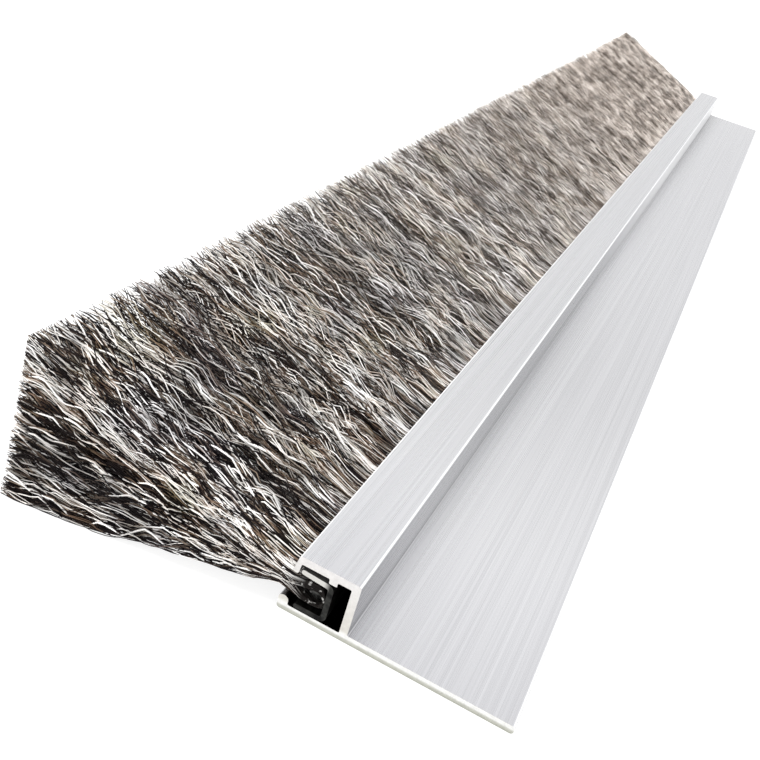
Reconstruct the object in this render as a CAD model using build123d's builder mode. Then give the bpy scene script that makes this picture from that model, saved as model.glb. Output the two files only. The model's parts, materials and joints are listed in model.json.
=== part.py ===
from build123d import *
import math
import os

# Strip-brush door sweep, in millimetres.
# +X runs along the sweep, +Y points from the flange to the bristle tips, and +Z is the flange's outward
# normal. The origin is the centre of the flat back face, which is the face that goes against the door.
# Sections are drawn in the YZ plane and run the whole length.

LENGTH = 400.0
START = Plane.YZ.offset(-LENGTH / 2)

# Carrier: one aluminium extrusion, a plain flange with a channel along its lower edge
BACK_WIDTH = 32.4
FLANGE_WIDTH = 22.5
FLANGE_THICKNESS = 1.3
FLOOR_THICKNESS = 1.1
WALL_THICKNESS = 1.1
ROOF_THICKNESS = 1.15
CARRIER_HEIGHT = 9.6
ROOF_WIDTH = 8.4
EDGE_RADIUS = 0.45
INNER_RADIUS = 0.2

WALL = -BACK_WIDTH / 2 + FLANGE_WIDTH
CEILING = CARRIER_HEIGHT - ROOF_THICKNESS

# The two lips that hold the brush in: one hangs from the roof, the other is a bead along the floor's edge
LIP_TIP = 6.8
LIP_INNER_TOP = WALL + 7.95
LIP_INNER_TIP = WALL + 8.15
LIP_OUTER_TIP = WALL + 8.95
LIP_ROUND = 0.35
BEAD_WIDTH = 1.4
BEAD_TOP = 2.4
BEAD_OUTER = BACK_WIDTH / 2
BEAD_ROUND = 0.65

# The rib that keeps the brush down on the channel floor
RIB_START = WALL + 3.0
RIB_WIDTH = 1.1
RIB_TIP = 7.72
RIB_ROUND = 0.15

# Brush backing: sheet steel folded to a channel whose upper arm flares towards the mouth
SHEET = 0.75
BACKING_BACK = WALL + 3.2
BACKING_FRONT = WALL + 7.75
BACKING_BOTTOM = 1.25
BACKING_HEIGHT = 6.25
FLARE = 0.3
FOLD_RADIUS = 1.0
FOLD_INNER_RADIUS = 0.3
ARM_END_RADIUS = 0.35

BACKING_TOP = BACKING_BOTTOM + BACKING_HEIGHT
ROOT_BACK = BACKING_BACK + SHEET
ROOT_BOTTOM = BACKING_BOTTOM + SHEET
ROOT_TOP = BACKING_TOP - SHEET

# Core wire, round which the filaments are folded, cut a little short of the backing's ends
WIRE_RADIUS = 1.0
WIRE_RECESS = 1.0
WIRE_Y = ROOT_BACK + 1.35
WIRE_Z = (ROOT_BOTTOM + ROOT_TOP) / 2

# Filaments: the packed root inside the backing, then the free fan
MOUTH_HALF_HEIGHT = 1.9
MOUTH_Z = (BEAD_TOP + LIP_TIP) / 2
FLEX_Y = WALL + 10.3
GAP = 0.3
ROOT_END = FLEX_Y - MOUTH_HALF_HEIGHT - GAP
TIP_TOP = (WALL + 50.0, 21.2)
TIP_BOTTOM = (WALL + 48.5, 0.5)
TIP_SPLAY = 5.0


def rounded_section(outline):
    """Make a face in the sketch from a closed outline of (y, z, corner radius)."""
    points = [(y, z) for y, z, radius in outline]
    radii = [radius for y, z, radius in outline]
    with BuildLine() as outline_line:
        FilletPolyline(*points, radius=radii, close=True)
    make_face(outline_line.edges())


# Carrier
with BuildPart() as carrier:
    with BuildSketch(START):
        rounded_section(
            [
                (-BACK_WIDTH / 2, 0, EDGE_RADIUS),
                (BEAD_OUTER, 0, EDGE_RADIUS),
                (BEAD_OUTER, BEAD_TOP, BEAD_ROUND),
                (BEAD_OUTER - BEAD_WIDTH, BEAD_TOP, BEAD_ROUND),
                (BEAD_OUTER - BEAD_WIDTH, FLOOR_THICKNESS, INNER_RADIUS),
                (WALL + WALL_THICKNESS, FLOOR_THICKNESS, INNER_RADIUS),
                (WALL + WALL_THICKNESS, CEILING, INNER_RADIUS),
                (RIB_START, CEILING, INNER_RADIUS),
                (RIB_START, RIB_TIP, RIB_ROUND),
                (RIB_START + RIB_WIDTH, RIB_TIP, RIB_ROUND),
                (RIB_START + RIB_WIDTH, CEILING, INNER_RADIUS),
                (LIP_INNER_TOP, CEILING, INNER_RADIUS),
                (LIP_INNER_TIP, LIP_TIP, LIP_ROUND),
                (LIP_OUTER_TIP, LIP_TIP, LIP_ROUND),
                (WALL + ROOF_WIDTH, CARRIER_HEIGHT, EDGE_RADIUS),
                (WALL, CARRIER_HEIGHT, EDGE_RADIUS),
                (WALL, FLANGE_THICKNESS, INNER_RADIUS),
                (-BACK_WIDTH / 2, FLANGE_THICKNESS, EDGE_RADIUS),
            ]
        )
    extrude(amount=LENGTH)

# Brush backing
with BuildPart() as brush_channel:
    with BuildSketch(START):
        rounded_section(
            [
                (BACKING_BACK, BACKING_BOTTOM, FOLD_RADIUS),
                (BACKING_FRONT, BACKING_BOTTOM, ARM_END_RADIUS),
                (BACKING_FRONT, ROOT_BOTTOM, ARM_END_RADIUS),
                (ROOT_BACK, ROOT_BOTTOM, FOLD_INNER_RADIUS),
                (ROOT_BACK, ROOT_TOP, FOLD_INNER_RADIUS),
                (BACKING_FRONT, ROOT_TOP + FLARE, ARM_END_RADIUS),
                (BACKING_FRONT, BACKING_TOP + FLARE, ARM_END_RADIUS),
                (BACKING_BACK, BACKING_TOP, FOLD_RADIUS),
            ]
        )
    extrude(amount=LENGTH)

# Core wire
with BuildPart() as core_wire:
    with BuildSketch(START.offset(WIRE_RECESS)):
        with Locations((WIRE_Y, WIRE_Z)):
            Circle(WIRE_RADIUS)
    extrude(amount=LENGTH - 2 * WIRE_RECESS)

# Filament root: fills the backing round the wire, and narrows to pass between the lips
with BuildPart() as bristle_root:
    with BuildSketch(START):
        rounded_section(
            [
                (ROOT_BACK, ROOT_BOTTOM, FOLD_INNER_RADIUS),
                (BACKING_FRONT, ROOT_BOTTOM, 0),
                (ROOT_END, MOUTH_Z - MOUTH_HALF_HEIGHT, 0),
                (ROOT_END, MOUTH_Z + MOUTH_HALF_HEIGHT, 0),
                (BACKING_FRONT, ROOT_TOP + FLARE, 0),
                (ROOT_BACK, ROOT_TOP, FOLD_INNER_RADIUS),
            ]
        )
        with Locations((WIRE_Y, WIRE_Z)):
            Circle(WIRE_RADIUS, mode=Mode.SUBTRACT)
    extrude(amount=LENGTH)

# Filament fan: a wedge from the mouth to the trimmed tips, splayed past both ends, on a round heel whose
# axis is where the filaments bend
tip_rise = TIP_TOP[1] - TIP_BOTTOM[1]
tip_lean = TIP_TOP[0] - TIP_BOTTOM[0]
tip_plane = Plane(
    origin=(0, (TIP_TOP[0] + TIP_BOTTOM[0]) / 2, (TIP_TOP[1] + TIP_BOTTOM[1]) / 2),
    x_dir=(1, 0, 0),
    z_dir=(0, -tip_rise, tip_lean),
)
heel_plane = Plane(origin=(0, FLEX_Y, MOUTH_Z), x_dir=(1, 0, 0), z_dir=(0, -1, 0))
with BuildPart() as bristle_fan:
    with BuildSketch(heel_plane):
        Rectangle(LENGTH, 2 * MOUTH_HALF_HEIGHT)
    with BuildSketch(tip_plane):
        Rectangle(LENGTH + 2 * TIP_SPLAY, math.hypot(tip_rise, tip_lean))
    loft(ruled=True)
    with BuildSketch(START):
        with Locations((FLEX_Y, MOUTH_Z)):
            Circle(MOUTH_HALF_HEIGHT)
    extrude(amount=LENGTH)

carrier.part.label = "carrier"
brush_channel.part.label = "brush_channel"
core_wire.part.label = "core_wire"
bristle_root.part.label = "bristle_root"
bristle_fan.part.label = "bristle_fan"

os.makedirs("parts", exist_ok=True)
export_step(carrier.part, "parts/carrier.step")
export_step(brush_channel.part, "parts/brush_channel.step")
export_step(core_wire.part, "parts/core_wire.step")
export_step(bristle_root.part, "parts/bristle_root.step")
export_step(bristle_fan.part, "parts/bristle_fan.step")
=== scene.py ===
import json
import math
from types import SimpleNamespace

import bpy
import numpy as np
from mathutils import Matrix, Vector

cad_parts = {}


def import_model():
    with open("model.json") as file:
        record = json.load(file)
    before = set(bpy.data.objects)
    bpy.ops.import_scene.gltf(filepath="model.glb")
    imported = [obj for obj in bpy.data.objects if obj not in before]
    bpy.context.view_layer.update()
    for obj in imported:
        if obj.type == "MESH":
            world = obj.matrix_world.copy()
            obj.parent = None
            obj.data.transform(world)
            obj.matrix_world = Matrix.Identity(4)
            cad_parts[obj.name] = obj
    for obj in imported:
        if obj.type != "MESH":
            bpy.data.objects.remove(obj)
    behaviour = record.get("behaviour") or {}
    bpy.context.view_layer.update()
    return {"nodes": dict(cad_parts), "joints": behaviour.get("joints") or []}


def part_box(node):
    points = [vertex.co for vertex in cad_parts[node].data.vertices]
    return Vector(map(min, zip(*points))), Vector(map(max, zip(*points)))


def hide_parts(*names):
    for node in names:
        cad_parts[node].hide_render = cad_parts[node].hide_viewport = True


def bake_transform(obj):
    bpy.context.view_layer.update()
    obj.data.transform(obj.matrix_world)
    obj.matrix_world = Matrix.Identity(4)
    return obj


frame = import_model()

MM = 0.001
rng = np.random.default_rng(7)

# ---------------------------------------------------------------------------------------------------
# Places, all from the frame. X runs along the sweep, Y towards the tips and Z up from the back face.
# ---------------------------------------------------------------------------------------------------
FLANGE_WIDTH = 22.5 * MM
FLANGE_TOP = 1.3 * MM
SHELL = 1.1 * MM          # the channel's walls

carrier_low, carrier_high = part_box("carrier")
backing_low, backing_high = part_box("brush_channel")
wire_low, wire_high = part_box("core_wire")
_, fan_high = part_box("bristle_fan")
flex = next(joint for joint in frame["joints"] if joint["name"] == "bristle_flex")
FLEX_Y, FLEX_Z = flex["pos_m"][1], flex["pos_m"][2]
END = carrier_high.x
WALL_Y = carrier_low.y + FLANGE_WIDTH
WIRE_Y = (wire_low.y + wire_high.y) / 2
WIRE_Z = (wire_low.z + wire_high.z) / 2
WIRE_RADIUS = (wire_high.z - wire_low.z) / 2
TIP_Y = fan_high.y
TIP_HIGH = fan_high.z
TIP_LOW = 0.25 * MM


# ---------------------------------------------------------------------------------------------------
# Material helpers
# ---------------------------------------------------------------------------------------------------
class Painter:
    """A new material's node tree, with short ways to add to it.

    Its coordinates are the object's own, or the mesh attribute named rest, which holds them as they are at
    rest.
    """

    def __init__(self, name, rest=None):
        self.material = bpy.data.materials.new(name)
        self.material.use_nodes = True
        self.tree = self.material.node_tree
        self.shader = self.tree.nodes["Principled BSDF"]
        if rest:
            self.coordinates = self.node("ShaderNodeAttribute", attribute_name=rest).outputs["Vector"]
        else:
            self.coordinates = self.node("ShaderNodeTexCoord").outputs["Object"]
        self.place = self.split(self.coordinates)

    def node(self, kind, **settings):
        made = self.tree.nodes.new(kind)
        for key, value in settings.items():
            setattr(made, key, value)
        return made

    def link(self, source, target):
        self.tree.links.new(source, target)

    def set(self, **values):
        """Constants on the shader's own sockets, with _ for a space in their names."""
        for key, value in values.items():
            self.shader.inputs[key.replace("_", " ")].default_value = value

    def drive(self, name, source):
        """Link source to the shader's socket of that name."""
        self.link(source, self.shader.inputs[name])

    def noise(self, scale, detail=2.0, roughness=0.5):
        """Noise with its own scale in x, y and z."""
        mapping = self.node("ShaderNodeMapping")
        mapping.inputs["Scale"].default_value = scale
        noise = self.node("ShaderNodeTexNoise")
        noise.inputs["Scale"].default_value = 1.0
        noise.inputs["Detail"].default_value = detail
        noise.inputs["Roughness"].default_value = roughness
        self.link(self.coordinates, mapping.inputs["Vector"])
        self.link(mapping.outputs["Vector"], noise.inputs["Vector"])
        return noise.outputs["Fac"]

    def ramp(self, source, stops, interpolation="LINEAR"):
        """A colour ramp over source, from (position, colour) stops. A colour may be one level of grey."""
        made = self.node("ShaderNodeValToRGB")
        made.color_ramp.interpolation = interpolation
        elements = made.color_ramp.elements
        while len(elements) < len(stops):
            elements.new(0.5)
        for element, (position, colour) in zip(elements, stops):
            if isinstance(colour, float):
                colour = (colour, colour, colour)
            element.position = position
            element.color = (*colour, 1.0)
        self.link(source, made.inputs["Fac"])
        return made.outputs["Color"]

    def scaled(self, source, low, high, source_low=0.0, source_high=1.0):
        """source mapped from source_low..source_high to low..high, held at the ends."""
        made = self.node("ShaderNodeMapRange")
        made.inputs["From Min"].default_value = source_low
        made.inputs["From Max"].default_value = source_high
        made.inputs["To Min"].default_value = low
        made.inputs["To Max"].default_value = high
        self.link(source, made.inputs["Value"])
        return made.outputs["Result"]

    def band(self, source, start, stop, soft):
        """1 where source is between start and stop, fading to 0 within soft of them."""
        rise = self.scaled(source, 0.0, 1.0, start - soft, start)
        fall = self.scaled(source, 1.0, 0.0, stop, stop + soft)
        return self.math("MULTIPLY", rise, fall)

    def along(self):
        """0 at the sweep's near end and 1 at its far end."""
        return self.scaled(self.place["X"], 0.0, 1.0, -END, END)

    def math(self, operation, first, second=None):
        made = self.node("ShaderNodeMath", operation=operation)
        for value, socket in zip((first, second), made.inputs):
            if isinstance(value, (int, float)):
                socket.default_value = value
            elif value is not None:
                self.link(value, socket)
        return made.outputs[0]

    def mix(self, factor, first, second, blend="MIX"):
        """The colour first where factor is 0, and second, or their blend, where it is 1."""
        made = self.node("ShaderNodeMix", data_type="RGBA", blend_type=blend)
        for value, socket in zip((factor, first, second), (made.inputs[0], made.inputs[6], made.inputs[7])):
            if isinstance(value, float):
                socket.default_value = value
            elif isinstance(value, tuple):
                socket.default_value = (*value, 1.0)
            else:
                self.link(value, socket)
        return made.outputs[2]

    def split(self, vector):
        made = self.node("ShaderNodeSeparateXYZ")
        self.link(vector, made.inputs[0])
        return made.outputs

    def bump(self, height, distance, strength=1.0):
        made = self.node("ShaderNodeBump")
        made.inputs["Strength"].default_value = strength
        made.inputs["Distance"].default_value = distance
        self.link(height, made.inputs["Height"])
        self.drive("Normal", made.outputs["Normal"])


# ---------------------------------------------------------------------------------------------------
# Aluminium
# ---------------------------------------------------------------------------------------------------
BLACK = (0.0, 0.0, 0.0)
EDGE_HIGHLIGHT_WHITE = (0.92, 0.925, 0.935)
WALL_SHEEN_WHITE = (0.97, 0.97, 0.975)
INSIDE_SHADE_BLACK = (0.05, 0.05, 0.052)
FOOT_Z = (FLANGE_TOP, FLANGE_TOP + 2.3 * MM)              # the foot of the channel's back wall, painted darker as shade
FOOT_Y = (WALL_Y - 0.4 * MM, WALL_Y - 0.15 * MM)
BESIDE_Y = (WALL_Y - 8 * MM, WALL_Y)                      # where the flange is painted darker towards the wall, as shade
BESIDE_Z = (FLANGE_TOP, FLANGE_TOP + 0.1 * MM)
BESIDE_X = (-0.2 * END, 0.8 * END)
WALL_SHEEN_X = (-0.3 * END, 0.2 * END)                        # where the wall's painted sheen starts
INSIDE_Y = (WALL_Y + 0.9 * SHELL, WALL_Y + 0.95 * SHELL)
LIP_Y = (WALL_Y + 8.0 * MM, WALL_Y + 8.2 * MM)            # inner face of the hanging lip
BEAD_Y = (carrier_high.y - 0.85 * MM, carrier_high.y - 0.7 * MM)


def brushed_faces(paint, fine):
    """The colour of the brushed faces, with painted reflections that brighten and darken it a little along
    the extrusion.
    """
    broad = paint.noise((6, 1500, 1500), 2.0, 0.5)
    streaks = paint.math("ADD", paint.math("MULTIPLY", fine, 0.65), paint.math("MULTIPLY", broad, 0.35))
    brushed = paint.ramp(streaks, [(0.36, (0.62, 0.62, 0.637)), (0.64, (0.745, 0.745, 0.763))])
    # painted reflection: broad brighter and darker bands along the extrusion
    tone = paint.ramp(
        paint.along(),
        [
            (0.0, (0.93, 0.93, 0.94)), (0.08, 1.03), (0.2, 0.97),
            (0.65, (0.92, 0.92, 0.93)), (1.0, (0.98, 0.98, 0.99)),
        ],
        "B_SPLINE",
    )
    return paint.mix(1.0, brushed, tone, "MULTIPLY")


def wall_faces(paint, normal, brushed):
    """brushed with painted shade and a painted sheen on the channel's back wall, and painted shade on the
    flange next to it, with masks for the foot and the sheen.
    """
    foot = paint.math(
        "MULTIPLY",
        paint.scaled(paint.place["Z"], 1.0, 0.0, *FOOT_Z),
        paint.scaled(paint.place["Y"], 0.0, 1.0, *FOOT_Y),
    )
    # painted shade: the wall is darker than the flange in the near half; painted sheen: it turns near white
    # in the far half
    painted_wall_shade = paint.ramp(
        paint.along(),
        [(0.0, 0.66), (0.035, 0.80), (0.08, 0.78), (0.14, 0.70), (0.30, 0.72), (0.42, 0.90), (0.50, 1.0)],
    )
    wall = paint.scaled(normal["Y"], 1.0, 0.0, -0.97, -0.90)
    brushed = paint.mix(wall, brushed, painted_wall_shade, "MULTIPLY")
    # painted sheen on the wall's far half
    painted_wall_sheen = paint.math("MULTIPLY", wall, paint.scaled(paint.place["X"], 0.0, 0.75, *WALL_SHEEN_X))
    brushed = paint.mix(painted_wall_sheen, brushed, WALL_SHEEN_WHITE)
    # painted shade: the flange is darker towards the wall, more so at the far end
    beside = paint.math(
        "MULTIPLY",
        paint.scaled(paint.place["Y"], 0.0, 1.0, *BESIDE_Y),
        paint.scaled(paint.place["Z"], 1.0, 0.0, *BESIDE_Z),
    )
    farther = paint.scaled(paint.place["X"], 0.0, 0.42, *BESIDE_X)
    beside = paint.math("MULTIPLY", paint.math("POWER", beside, 2.0), farther)
    # painted shade: darker at the foot of the wall and on the flange towards the wall
    painted_shade = paint.math("ADD", paint.math("MULTIPLY", foot, 0.20), beside)
    return paint.mix(painted_shade, brushed, BLACK), foot, painted_wall_sheen


def sawn_faces(paint):
    """The colour of the sawn ends, with a painted highlight along the top of the flange, and olive below
    it.
    """
    grain = paint.noise((1500, 1500, 1500), 3.0, 0.6)
    sawn = paint.ramp(grain, [(0.35, 0.88), (0.65, 1.0)])
    # painted highlight: the bright band just below the top of the flange; the other stops are the sawn
    # face's own colour
    cream_and_highlight = paint.ramp(
        paint.scaled(paint.place["Z"], 0.0, 1.0, 0.0, carrier_high.z),
        [
            (0.0, (0.36, 0.365, 0.31)), (0.055, (0.50, 0.50, 0.45)), (0.085, (0.80, 0.80, 0.78)),
            (0.13, (0.82, 0.815, 0.79)), (0.18, (0.62, 0.60, 0.55)), (1.0, (0.72, 0.70, 0.69)),
        ],
    )
    return paint.mix(1.0, sawn, cream_and_highlight, "MULTIPLY")


def channel_inside(paint, normal, end_face):
    """1 inside the channel, where it is painted black as shade, apart from the ends and the outer faces of
    its two lips.
    """
    inner = paint.math(
        "MULTIPLY",
        paint.scaled(paint.place["Y"], 0.0, 1.0, *INSIDE_Y),
        paint.band(paint.place["Z"], SHELL, carrier_high.z - SHELL, 0.06 * MM),
    )
    lip_front = paint.math(
        "MULTIPLY",
        paint.scaled(normal["Y"], 0.0, 1.0, 0.25, 0.45),
        paint.scaled(paint.place["Y"], 0.0, 1.0, *LIP_Y),
    )
    bead = paint.scaled(paint.place["Y"], 0.0, 1.0, *BEAD_Y)
    outer = paint.math("MAXIMUM", end_face, paint.math("MAXIMUM", lip_front, bead))
    return paint.math("MULTIPLY", inner, paint.math("SUBTRACT", 1.0, outer))


def aluminium():
    """Satin anodised aluminium, brushed lengthwise, with sawn ends; its reflections, edge highlights, and
    the shade and sheen in and beside the channel are painted.
    """
    paint = Painter("brushed_aluminium")
    normal = paint.split(paint.node("ShaderNodeNewGeometry").outputs["Normal"])
    facing = [paint.math("ABSOLUTE", normal[axis]) for axis in range(3)]
    end_face = paint.scaled(facing[0], 0.0, 1.0, 0.6, 0.7)
    fine = paint.noise((14, 5200, 5200), 3.0, 0.6)
    brushed, foot, painted_wall_sheen = wall_faces(paint, normal, brushed_faces(paint, fine))
    # painted highlight: the rounded outer edges are painted near white
    flatness = paint.math("MAXIMUM", paint.math("MAXIMUM", facing[0], facing[1]), facing[2])
    edge = paint.scaled(flatness, 1.0, 0.0, 0.84, 0.975)
    edge = paint.math("MULTIPLY", edge, paint.scaled(foot, 1.0, 0.0, 0.0, 0.4))
    edge_highlighted = paint.mix(edge, brushed, EDGE_HIGHLIGHT_WHITE)
    outside = paint.mix(end_face, edge_highlighted, sawn_faces(paint))
    inner = channel_inside(paint, normal, end_face)
    # painted shade: the inside of the channel is near black
    paint.drive("Base Color", paint.mix(inner, outside, INSIDE_SHADE_BLACK))
    # the sawn ends, and the painted highlights on the edges and the wall, are less metallic and rougher
    sawn_or_highlighted = paint.math("MAXIMUM", paint.math("MAXIMUM", edge, end_face), painted_wall_sheen)
    paint.drive("Metallic", paint.scaled(sawn_or_highlighted, 1.0, 0.25))
    paint.set(Anisotropic=0.75)
    rough = paint.math("ADD", paint.scaled(fine, 0.22, 0.34), paint.math("MULTIPLY", sawn_or_highlighted, 0.25))
    paint.drive("Roughness", rough)
    tangent = paint.node("ShaderNodeTangent", direction_type="RADIAL", axis="X")
    paint.drive("Tangent", tangent.outputs["Tangent"])
    paint.bump(fine, 0.01 * MM, 0.5)
    return paint.material


# ---------------------------------------------------------------------------------------------------
# Steel
# ---------------------------------------------------------------------------------------------------
# painted shade: the backing's steel is near black, and the front of its upper arm is painted lit
BACKING_SHADE_DARK = (0.008, 0.008, 0.008)
BACKING_SHADE_LIGHT = (0.05, 0.05, 0.046)
BACKING_ARM_LIT = (0.62, 0.61, 0.58)
WIRE_DARK = (0.02, 0.02, 0.02)
WIRE_LIGHT = (0.20, 0.20, 0.19)
ARM_Z = (backing_high.z - 1.6 * MM, backing_high.z - 1.0 * MM)    # where the painted lit front of the arm starts
ARM_Y = (backing_low.y + 0.6 * MM, backing_low.y + 1.4 * MM)


def steel(name, dark, light, arm=None):
    """Zinc-plated steel, dark with lighter spangles; on the backing the dark is painted shade. The front of
    the backing's upper arm is painted lit, of the colour arm.
    """
    paint = Painter(name)
    spangle = paint.noise((900, 900, 900), 4.0, 0.6)
    plating = paint.ramp(spangle, [(0.35, dark), (0.65, light)])
    if arm:
        lit_front = paint.math(
            "MULTIPLY",
            paint.scaled(paint.place["Z"], 0.0, 1.0, *ARM_Z),
            paint.scaled(paint.place["Y"], 0.0, 1.0, *ARM_Y),
        )
        plating = paint.mix(lit_front, plating, arm)
    paint.drive("Base Color", plating)
    paint.set(Metallic=1.0)
    paint.drive("Roughness", paint.scaled(spangle, 0.35, 0.6))
    paint.bump(spangle, 0.03 * MM, 0.6)
    return paint.material


# ---------------------------------------------------------------------------------------------------
# Filaments' material
# ---------------------------------------------------------------------------------------------------
MOTTLE_BLACK = (0.02, 0.016, 0.014)
BLOTCH_BLACK = (0.016, 0.013, 0.013)
LIT_BAND_Y = (FLEX_Y + 2 * MM, FLEX_Y + 8 * MM)           # where the hair is painted a little paler, as painted light
ROOT_Y = (FLEX_Y - 3.4 * MM, FLEX_Y - 0.2 * MM)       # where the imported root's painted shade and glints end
DISTANCE_X = (-0.84 * END, 0.36 * END)                # where the near looks give way to the far ones


def near_hair(paint, shade, mottle):
    """Mixed black, brown and pale hair, tinted and darkened in patches."""
    near = paint.ramp(shade, [
        (0.0, (0.004, 0.003, 0.0035)), (0.36, (0.015, 0.011, 0.011)), (0.44, (0.07, 0.052, 0.040)),
        (0.60, (0.24, 0.19, 0.145)), (0.68, (0.50, 0.465, 0.42)), (0.86, (0.86, 0.84, 0.81)),
        (1.0, (0.98, 0.97, 0.95)),
    ])
    tint = paint.ramp(paint.noise((110, 110, 110), 2.0, 0.5), [
        (0.34, (1.04, 0.99, 0.74)), (0.44, (1.16, 0.95, 0.84)), (0.54, 1.0), (0.64, (0.96, 0.93, 1.08)),
    ])
    near = paint.mix(paint.scaled(shade, 1.0, 0.2, 0.45, 0.80), near, tint, "MULTIPLY")
    near = paint.mix(paint.scaled(mottle, 0.0, 0.4, 0.54, 0.72), near, MOTTLE_BLACK)
    blotch = paint.noise((85, 85, 85), 2.0, 0.5)
    return paint.mix(paint.scaled(blotch, 0.38, 0.0, 0.36, 0.46), near, BLOTCH_BLACK)


def far_hair(paint, shade):
    """Softer, warmer and mottled, as the hair looks in the distance."""
    far = paint.ramp(shade, [
        (0.0, (0.24, 0.20, 0.175)), (0.36, (0.33, 0.28, 0.247)), (0.60, (0.52, 0.45, 0.40)),
        (0.68, (0.68, 0.61, 0.56)), (1.0, (0.93, 0.87, 0.82)),
    ])
    patch = paint.ramp(paint.noise((150, 230, 230), 3.0, 0.6), [
        (0.39, (0.16, 0.134, 0.113)), (0.50, (0.57, 0.50, 0.445)), (0.61, (1.0, 0.93, 0.87)),
    ])
    return paint.mix(0.58, far, patch)


def filaments():
    """Crimped filaments of mixed black, brown and pale hair, paler and warmer towards the far end, with
    painted shade and glints at the root and painted light just past the mouth.
    """
    paint = Painter("filaments", rest="rest")
    shade = paint.node("ShaderNodeAttribute", attribute_name="shade").outputs["Fac"]
    # painted light: the hair is a little paler just past the mouth
    start = paint.band(paint.place["Y"], *LIT_BAND_Y, 6 * MM)
    shade = paint.math("ADD", shade, paint.math("MULTIPLY", start, 0.03))
    mottle = paint.noise((280, 280, 280), 3.0, 0.6)
    near = near_hair(paint, shade, mottle)
    far = far_hair(paint, shade)
    distance = paint.math("POWER", paint.scaled(paint.place["X"], 0.0, 1.0, *DISTANCE_X), 1.35)
    hair = paint.mix(distance, near, far)
    # painted shade and painted glints: the imported root is dark, with glints
    root_shade_and_glints = paint.ramp(paint.noise((1300, 1300, 1300), 1.0, 0.5), [
        (0.60, (0.012, 0.010, 0.009)), (0.70, (0.55, 0.54, 0.52)),
    ])
    root = paint.scaled(paint.place["Y"], 1.0, 0.0, *ROOT_Y)
    paint.drive("Base Color", paint.mix(root, hair, root_shade_and_glints))
    paint.set(Specular_IOR_Level=0.08)
    paint.drive("Roughness", paint.scaled(mottle, 0.35, 0.55))
    paint.bump(mottle, 0.01 * MM, 0.4)
    return paint.material


# ---------------------------------------------------------------------------------------------------
# Filaments' shapes
# ---------------------------------------------------------------------------------------------------
FILAMENTS = 15600
END_FILAMENTS = 1700      # extra ones near each end, where the fan spreads
LOCK = 5                  # filaments that run side by side
TRESS = 4                 # locks that wave together
SECTIONS = 26             # meshes along the sweep
ARC_POINTS = 5            # points of each centre line: round the wire, on to the mouth, and past it
LEG_POINTS = 3
FREE_POINTS = 36
FINE = (0.06 * MM, 0.105 * MM)            # least and greatest radius of most filaments
BOLD = (0.115 * MM, 0.165 * MM)           # and of a few
MAP_COLUMN = 0.012        # share of the map's width for one filament

# at the root
END_CROWD = 1.6 * MM      # mean distance of the extra filaments from their end
END_INSET = 0.1 * MM
LOCK_WIDTH = 0.38 * MM    # spread of a lock's filaments where they leave the channel
WIRE_GAP = (0.13 * MM, 1.15 * MM)         # how far from the wire they pass
MOUTH_LOW = -0.75 * MM    # height of the lowest at the mouth, from the hinge
MOUTH_SPAN = 2.4 * MM     # from there to the highest
TOP_SHARE = 0.24          # share of locks in the dense layer along the fan's top
BOTTOM_SHARE = 0.09       # and in the one along its underside
TOP_DEPTH = 0.12          # depth of those layers, as a share of the fan's height
BOTTOM_DEPTH = 0.10

# at the tips
SPREAD_LENGTH = 25 * MM   # part of the sweep at each end where the fan splays
SPLAY = 5.6 * MM          # how far the lowest tips stand past the ends
LOCK_STRAY = 3.8 * MM     # how far a lock's tips stray along the sweep
STRAY = 2.4 * MM          # and each tip from its lock
END_CALM = 0.68           # share of that straying that is missing at the ends
TUFTS = ((17 * MM, 1.3 * MM), (9.1 * MM, 1.0 * MM), (5.3 * MM, 0.6 * MM))   # length along the sweep, size
FAR_RISE = 3.0 * MM       # how much higher the top is at the far end
FAR_REACH = 2.2 * MM      # and how much longer the filaments are
TIP_PROUD = 0.3 * MM      # how far the top tips stand past the frame's fan
TIP_LEAN = 1.5 * MM       # how much shorter the lowest are
TIP_STRAY = 0.14 * MM     # unevenness of the trimmed face
STUB_SHARE = 0.04         # share of short filaments
STUB = 3 * MM             # the most that they lack

# between them
SAG = 0.5 * MM            # of the lowest filaments
WAVE_START = 7 * MM       # distance past the mouth where the waves have their full size
TOP_SPACE = 2.1 * MM      # room above the hinge, before the fan opens
BOTTOM_SPACE = 1.3 * MM   # and below it
BELLY = 1.0 * MM          # how far the fan's underside hangs below a straight line
SKIN = 0.1 * MM           # room past the outline
TRIM = 0.85               # share of what sticks out above or below that is drawn in
END_TRIM = 0.9            # and at the ends

# kinds
BOLD_SHARE = 0.06
BROWN_SHARE = 0.20
PALE_LOCKS = 0.15         # least share of locks that are mostly pale
PALE_OUTER_LIT = 0.05         # and how many more on the outside of the fan and at its end faces, as painted light, leaving the inside darker as painted shade
PALE_INLAND = 0.36        # and away from the near end
DARK_FOOT = 0.10          # and fewer low at the near end
PALE_IN_PALE_LOCK = 0.72
PALE_IN_DARK_LOCK = 0.10
END_EDGE = 7 * MM         # part of the sweep at each end that shows in the fan's end faces


def pick(group):
    """Uniform random numbers from 0 to 1, the same for filaments with the same number in group."""
    return rng.random(group.max() + 1)[group]


def spread(group, width):
    """Normal random numbers of that width, the same for filaments with the same number in group."""
    return rng.normal(0, width, group.max() + 1)[group]


def between(limits, share):
    """The value at share, from 0 to 1, of the way between two limits."""
    return limits[0] + (limits[1] - limits[0]) * share


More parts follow.
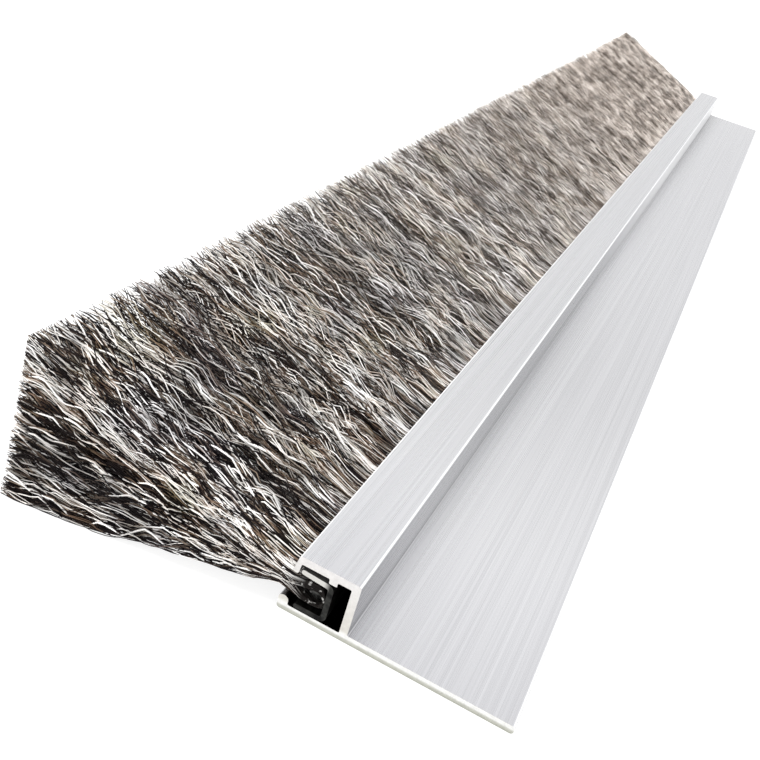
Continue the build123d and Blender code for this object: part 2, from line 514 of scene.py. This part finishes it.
def scatter():
    """The filaments' locks and tresses, places along the sweep and heights, from 0 low to 1 high."""
    hair = SimpleNamespace()
    hair.own = np.arange(FILAMENTS + 2 * END_FILAMENTS)
    hair.lock = hair.own // LOCK
    hair.tress = hair.lock // TRESS
    locks = hair.lock.max() + 1
    place = rng.uniform(-END, END, locks)
    extra = END_FILAMENTS // LOCK
    place[:extra] = -END + rng.exponential(END_CROWD, extra)
    place[extra:2 * extra] = END - rng.exponential(END_CROWD, extra)
    place = np.sort(place)
    x = place[hair.lock] + spread(hair.own, LOCK_WIDTH)
    hair.start_x = np.clip(x, -END + END_INSET, END - END_INSET)
    hair.grown = (hair.start_x + END) / (2 * END)

    # a dense layer along the top of the fan, a thinner one along its underside, and the rest anywhere
    layer = pick(hair.lock)
    within = pick(hair.lock)
    top = 1 - TOP_DEPTH * within**1.6
    bottom = BOTTOM_DEPTH * within**1.6
    height = np.where(layer < TOP_SHARE + BOTTOM_SHARE, bottom, within)
    height = np.where(layer < TOP_SHARE, top, height)
    height = height + spread(hair.own, 0.020)
    hair.height = 1 - np.abs(1 - np.abs(height))
    tip_height = hair.height + spread(hair.lock, 0.04) + spread(hair.own, 0.015)
    hair.tip_height = np.clip(tip_height, 0, 1)
    return hair


def root_arcs(hair):
    """Arcs round the back of the wire, over it or under it, as y and z of each point."""
    side = np.where(pick(hair.own) < hair.height, 1.0, -1.0)
    gap = rng.uniform(*WIRE_GAP, len(hair.own))
    angle = np.linspace(math.pi, 0.4 * math.pi, ARC_POINTS)
    y = WIRE_Y + (WIRE_RADIUS + WIRE_GAP[0] + 0.1 * gap)[:, None] * np.cos(angle)
    z = WIRE_Z + (side * (WIRE_RADIUS + gap))[:, None] * np.sin(angle)
    return y, z


def add_tips(hair):
    """Put the tips on the trimmed face, and say how far tufts bow up on the way."""
    x, grown, tip_height = hair.start_x, hair.grown, hair.tip_height
    near_end = np.clip((SPREAD_LENGTH - (x + END)) / SPREAD_LENGTH, 0, 1)
    far_end = np.clip((SPREAD_LENGTH - (END - x)) / SPREAD_LENGTH, 0, 1)
    hair.splay = SPLAY * (1 - tip_height)
    wander = 1 - END_CALM * np.maximum(near_end, far_end)
    tip_x = x + hair.splay * (far_end**1.2 - near_end**1.2)
    tip_x = tip_x + (spread(hair.lock, LOCK_STRAY) + spread(hair.own, STRAY)) * wander
    # tufts lean together and apart
    lean = np.zeros(len(x))
    lift = np.zeros(len(x))
    for length, size in TUFTS:
        turn = 2 * math.pi * (x / length + rng.random()) + 4 * (hair.height - 0.5) * rng.normal()
        lean = lean + size * np.sin(turn)
        lift = lift + size * np.cos(turn + 1.3)
    hair.tip_x = tip_x + lean * wander
    hair.lift = lift * (0.5 - 0.3 * hair.height)
    hair.tip_z = TIP_LOW + tip_height * (TIP_HIGH - TIP_LOW) + tip_height * grown * FAR_RISE
    tip_y = TIP_Y + TIP_PROUD - TIP_LEAN * (1 - tip_height) + grown * FAR_REACH
    # nearly even, with a few short ones
    tip_y = tip_y - np.abs(spread(hair.own, TIP_STRAY))
    hair.tip_y = tip_y - (pick(hair.own) < STUB_SHARE) * pick(hair.own) * STUB
    hair.end_foot = near_end**2 * (1 - hair.height)


def centre_lines(hair):
    """x, y and z of each point: round the wire, out through the mouth and straight on to the tip."""
    arc_y, arc_z = root_arcs(hair)
    add_tips(hair)
    mouth_z = FLEX_Z + MOUTH_LOW + MOUTH_SPAN * hair.height
    # legs: a cubic from the arc's end to the mouth
    t = np.linspace(0, 1, LEG_POINTS + 1)[1:]
    rise = ((hair.tip_z - mouth_z) / (hair.tip_y - FLEX_Y))[:, None]
    span = (FLEX_Y - arc_y[:, -1])[:, None]
    leg_y = arc_y[:, -1:] + span * t
    leg_z = (
        arc_z[:, -1:] * (2 * t**3 - 3 * t**2 + 1)
        + mouth_z[:, None] * (3 * t**2 - 2 * t**3)
        + rise * span * (t**3 - t**2)
    )
    # free length, which sags low in the fan
    free = np.linspace(0, 1, FREE_POINTS + 1)[1:]
    free_y = FLEX_Y + (hair.tip_y - FLEX_Y)[:, None] * free
    sag = SAG * ((1 - hair.height) ** 2)[:, None] * np.sin(math.pi * free**1.35) ** 2
    free_z = mouth_z[:, None] + (hair.tip_z - mouth_z)[:, None] * free - sag
    free_z = free_z + hair.lift[:, None] * np.sin(math.pi * free**1.2)
    free_x = hair.start_x[:, None] + (hair.tip_x - hair.start_x)[:, None] * free
    packed_x = np.repeat(hair.start_x[:, None], ARC_POINTS + LEG_POINTS, axis=1)

    x = np.concatenate([packed_x, free_x], axis=1)
    y = np.concatenate([arc_y, leg_y, free_y], axis=1)
    z = np.concatenate([arc_z, leg_z, free_z], axis=1)
    return x, y, z


def add_waves(hair, x, z, run):
    """x and z with slow waves shared by a tress, crimps shared by a lock, and some of each one's own."""
    out = np.clip(run / WAVE_START, 0, 1)
    out = 0.06 + 0.94 * out * out * (3 - 2 * out)
    for group, lengths, sizes, loose_phase in (
        (hair.tress, (10 * MM, 22 * MM), (0.4 * MM, 1.2 * MM), 0.4),
        (hair.lock, (5.5 * MM, 9.5 * MM), (0.34 * MM, 1.05 * MM), 0.5),
        (hair.own, (3.8 * MM, 7.0 * MM), (0.06 * MM, 0.34 * MM), 0.0),
    ):
        wave = between(lengths, pick(group))
        size = between(sizes, pick(group))
        phase = 2 * math.pi * pick(group) + spread(hair.own, 1.0) * loose_phase
        plane = math.pi * pick(group)
        theta = 2 * math.pi * run / wave[:, None] + phase[:, None]
        crimp = (np.sin(theta) - 0.11 * np.sin(3 * theta)) * size[:, None] * out
        x = x + crimp * np.cos(plane)[:, None]
        z = z + crimp * np.sin(plane)[:, None] * 0.8
    return x, z


def kinds(hair):
    """Radius and shade of each filament: bold and pale, or fine and pale, brown or black."""
    end_gap = END - np.abs(hair.start_x)
    # painted light and shade: more pale filaments on the outside of the fan and at its end faces, fewer
    # inside
    outer = np.maximum(np.abs(2 * hair.height - 1), np.clip(1.4 - end_gap / END_EDGE, 0, 1))
    bold = pick(hair.own) < BOLD_SHARE
    inland = np.clip((hair.grown - 0.008) / 0.06, 0, 1)
    pale_share = PALE_LOCKS + PALE_OUTER_LIT * outer + PALE_INLAND * inland - DARK_FOOT * hair.end_foot
    pale_lock = pick(hair.lock) < pale_share
    pale = np.where(pale_lock, PALE_IN_PALE_LOCK, PALE_IN_DARK_LOCK)
    draw = pick(hair.own)
    tone = pick(hair.own)
    dark = np.where(draw > 1 - BROWN_SHARE, 0.40 + 0.2 * tone, 0.36 * tone)
    shade = np.where(draw < pale, 0.62 + 0.34 * tone, dark)
    shade = np.where(bold, 0.88 + 0.12 * tone, shade)
    thick = pick(hair.own)
    return np.where(bold, between(BOLD, thick), between(FINE, thick)), shade


def trimmed(hair, x, z, run, radius):
    """x and z with what sticks out of the fan's outline drawn in, and nothing sunk into the floor."""
    reach = np.clip(run / (hair.tip_y - FLEX_Y)[:, None], 0, 1)
    top_end = TIP_HIGH + SKIN + FAR_RISE * hair.grown[:, None]
    top = between((FLEX_Z + TOP_SPACE, top_end), reach)
    z = z - np.clip(z - top, 0, None) * TRIM
    bottom = between((FLEX_Z - BOTTOM_SPACE, TIP_LOW), reach)
    bottom = bottom - BELLY * np.sin(math.pi * np.clip((reach - 0.45) / 0.55, 0, 1))
    z = z + np.clip(bottom - z, 0, None) * TRIM
    z = z + np.clip(radius[:, None] + SKIN - z, 0, None)
    past = END + SKIN + hair.splay[:, None] * reach
    x = x - np.sign(x) * np.clip(np.abs(x) - past, 0, None) * END_TRIM
    return x, z


def filament_paths():
    """Centre lines as (filament, point, xyz), each one's radius and its shade from black 0 to white 1."""
    hair = scatter()
    x, y, z = centre_lines(hair)
    run = y - FLEX_Y
    x, z = add_waves(hair, x, z, run)
    radius, shade = kinds(hair)
    x, z = trimmed(hair, x, z, run, radius)
    return np.stack([x, y, z], axis=2), radius, shade


def tube_vertices(paths, radius, sides):
    """Rings round the centre lines, thinner at the tips."""
    ahead = np.gradient(paths, axis=1)
    ahead /= np.linalg.norm(ahead, axis=2, keepdims=True)
    across = np.cross(ahead, (1.0, 0.0, 0.0))
    across /= np.linalg.norm(across, axis=2, keepdims=True)
    over = np.cross(across, ahead)
    taper = np.ones(paths.shape[1])
    taper[-1] = 0.5
    angles = np.arange(sides) / sides * 2 * math.pi
    ring = across[:, :, None, :] * np.cos(angles)[:, None] + over[:, :, None, :] * np.sin(angles)[:, None]
    ring = ring * (radius[:, None] * taper)[:, :, None, None]
    return (paths[:, :, None, :] + ring).reshape(-1, 3)


def tube_faces(count, points, sides):
    """Corners of all faces in one list, and how many each face has: walls, start caps, end caps."""
    first = (np.arange(count) * points * sides)[:, None, None]
    row = (np.arange(points - 1) * sides)[None, :, None]
    side = np.arange(sides)[None, None, :]
    after = (side + 1) % sides
    low, high = first + row, first + row + sides
    corners = [low + side, low + after, high + after, high + side]
    walls = np.stack(np.broadcast_arrays(*corners), axis=3).reshape(-1, 4)
    starts = first[:, 0] + np.arange(sides)[::-1]
    ends = first[:, 0] + (points - 1) * sides + np.arange(sides)
    loops = np.concatenate([walls.ravel(), starts.ravel(), ends.ravel()])
    totals = np.concatenate([np.full(len(walls), 4), np.full(2 * count, sides)])
    return loops, totals


def tube_map(shade, points, sides):
    """UVs of all the faces' corners. Filaments of one shade share a column of the map."""
    side = np.arange(sides)[None, None, :]
    column = (shade * (1 - MAP_COLUMN))[:, None, None]
    left = np.broadcast_to(column + side * MAP_COLUMN / sides, (len(shade), points - 1, sides))
    low = np.broadcast_to(np.arange(points - 1)[None, :, None] / (points - 1), left.shape)
    right, high = left + MAP_COLUMN / sides, low + 1 / (points - 1)
    walls = np.stack([left, low, right, low, right, high, left, high], axis=3)
    middle = np.repeat(shade * (1 - MAP_COLUMN) + MAP_COLUMN / 2, sides)
    caps = [np.stack([middle, np.full(len(middle), height)], axis=1) for height in (0.0, 1.0)]
    return np.concatenate([walls.ravel(), *(cap.ravel() for cap in caps)])


def tubes(name, paths, radius, shade, sides=3):
    """One mesh of closed tubes along the centre lines, with a UV column and a shade for each."""
    count, points, _ = paths.shape
    vertices = tube_vertices(paths, radius, sides).astype(np.float32)
    loops, totals = tube_faces(count, points, sides)
    mesh = bpy.data.meshes.new(name)
    mesh.vertices.add(len(vertices))
    mesh.vertices.foreach_set("co", vertices.ravel())
    mesh.loops.add(len(loops))
    mesh.loops.foreach_set("vertex_index", loops.astype(np.int32))
    mesh.polygons.add(len(totals))
    mesh.polygons.foreach_set("loop_start", np.concatenate([[0], np.cumsum(totals)[:-1]]).astype(np.int32))
    mesh.polygons.foreach_set("use_smooth", np.ones(len(totals), bool))
    mesh.update(calc_edges=True)
    mesh.validate()
    layer = mesh.uv_layers.new(name="OFBake")
    layer.data.foreach_set("uv", tube_map(shade, points, sides).astype(np.float32))
    attribute = mesh.attributes.new("shade", "FLOAT", "POINT")
    attribute.data.foreach_set("value", np.repeat(shade, points * sides).astype(np.float32))
    attribute = mesh.attributes.new("rest", "FLOAT_VECTOR", "POINT")
    attribute.data.foreach_set("vector", vertices.ravel())
    made = bpy.data.objects.new(name, mesh)
    bpy.context.scene.collection.objects.link(made)
    return made


def make_filaments():
    """Meshes of neighbouring filaments, drawn in place of two of the frame's nodes, which are hidden."""
    paths, radius, shade = filament_paths()
    material = filaments()
    bounds = np.linspace(0, len(paths), SECTIONS + 1).astype(int)
    for index, (first, last) in enumerate(zip(bounds[:-1], bounds[1:])):
        piece = tubes(f"bristles_{index + 1:02d}", paths[first:last], radius[first:last], shade[first:last])
        piece.data.materials.append(material)
        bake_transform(piece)
        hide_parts("bristle_root", "bristle_fan")


# ---------------------------------------------------------------------------------------------------
# Studio
# ---------------------------------------------------------------------------------------------------
FLOOR_SIZE = 60.0
VIEW_PLACE = (-0.2769, -0.0115, 0.0855)
VIEW_ANGLES = (16.5, 31.2, 16.06)         # degrees to the left of +X, down, and of roll
LENS = 43.0
ROOM_BRIGHTNESS = 1.08
ROOM_LEVELS = (           # brightness of the room by height, from straight down 0 to straight up 1
    (0.0, 0.80), (0.10, 0.80), (0.22, 0.90), (0.33, 1.0),
    (0.48, 0.92), (0.63, 1.12), (0.76, 0.98), (1.0, 1.0),
)


def floor():
    """A plain white floor, bright of itself so that the shadows stay faint."""
    bpy.ops.mesh.primitive_plane_add(size=FLOOR_SIZE)
    plane = bpy.context.object
    plane.name = "floor"
    paint = Painter("floor")
    paint.set(Base_Color=(0.25, 0.25, 0.25, 1), Roughness=0.9)
    paint.set(Emission_Color=(1, 1, 1, 1), Emission_Strength=0.82)
    plane.data.materials.append(paint.material)


def world():
    """A white room, a little brighter in two bands that the brushed metal mirrors."""
    made = bpy.data.worlds.new("studio")
    bpy.context.scene.world = made
    made.use_nodes = True
    tree = made.node_tree
    direction = tree.nodes.new("ShaderNodeTexCoord")
    split = tree.nodes.new("ShaderNodeSeparateXYZ")
    bands = tree.nodes.new("ShaderNodeValToRGB")
    elements = bands.color_ramp.elements
    while len(elements) < len(ROOM_LEVELS):
        elements.new(0.5)
    for element, (height, level) in zip(elements, ROOM_LEVELS):
        element.position = height
        element.color = (level, level, level, 1.0)
    background = tree.nodes["Background"]
    background.inputs["Strength"].default_value = ROOM_BRIGHTNESS
    tree.links.new(direction.outputs["Generated"], split.inputs[0])
    tree.links.new(split.outputs["Z"], bands.inputs["Fac"])
    tree.links.new(bands.outputs["Color"], background.inputs["Color"])


def area_light(name, place, target, size, power):
    data = bpy.data.lights.new(name, "AREA")
    data.shape = "RECTANGLE"
    data.size, data.size_y = size
    data.energy = power
    lamp = bpy.data.objects.new(name, data)
    bpy.context.scene.collection.objects.link(lamp)
    lamp.location = place
    lamp.rotation_euler = (Vector(target) - Vector(place)).to_track_quat("-Z", "Y").to_euler()
    # the brushed metal mirrors the room alone, which keeps it from burning out
    lamp.visible_glossy = False


def camera():
    """The view from above the near end, rolled about its own axis."""
    heading, down, roll = (math.radians(angle) for angle in VIEW_ANGLES)
    flat = Vector((math.cos(heading), math.sin(heading), 0))
    ahead = flat * math.cos(down) - Vector((0, 0, 1)) * math.sin(down)
    level = ahead.cross(Vector((0, 0, 1))).normalized()
    over = level.cross(ahead)
    right = level * math.cos(roll) + over * math.sin(roll)
    up = right.cross(ahead)
    data = bpy.data.cameras.new("camera")
    data.lens = LENS
    data.clip_start = 1 * MM
    made = bpy.data.objects.new("camera", data)
    bpy.context.scene.collection.objects.link(made)
    turn = Matrix((right, up, -ahead)).transposed().to_4x4()
    made.matrix_world = Matrix.Translation(VIEW_PLACE) @ turn
    bpy.context.scene.camera = made


camera()
make_filaments()
for name, material in (
    ("carrier", aluminium()),
    ("brush_channel", steel("backing_steel", BACKING_SHADE_DARK, BACKING_SHADE_LIGHT, BACKING_ARM_LIT)),
    ("core_wire", steel("wire_steel", WIRE_DARK, WIRE_LIGHT)),
):
    slots = frame["nodes"][name].data.materials
    slots.clear()
    slots.append(material)
floor()
world()
area_light("key", place=(-0.25, 0.35, 0.8), target=(0, 0.02, 0), size=(0.35, 0.35), power=7)
area_light("fill", place=(-0.45, 0.17, 0.12), target=(-0.2, 0.04, 0.01), size=(0.2, 0.2), power=0.25)
bpy.context.scene.view_settings.view_transform = "Standard"
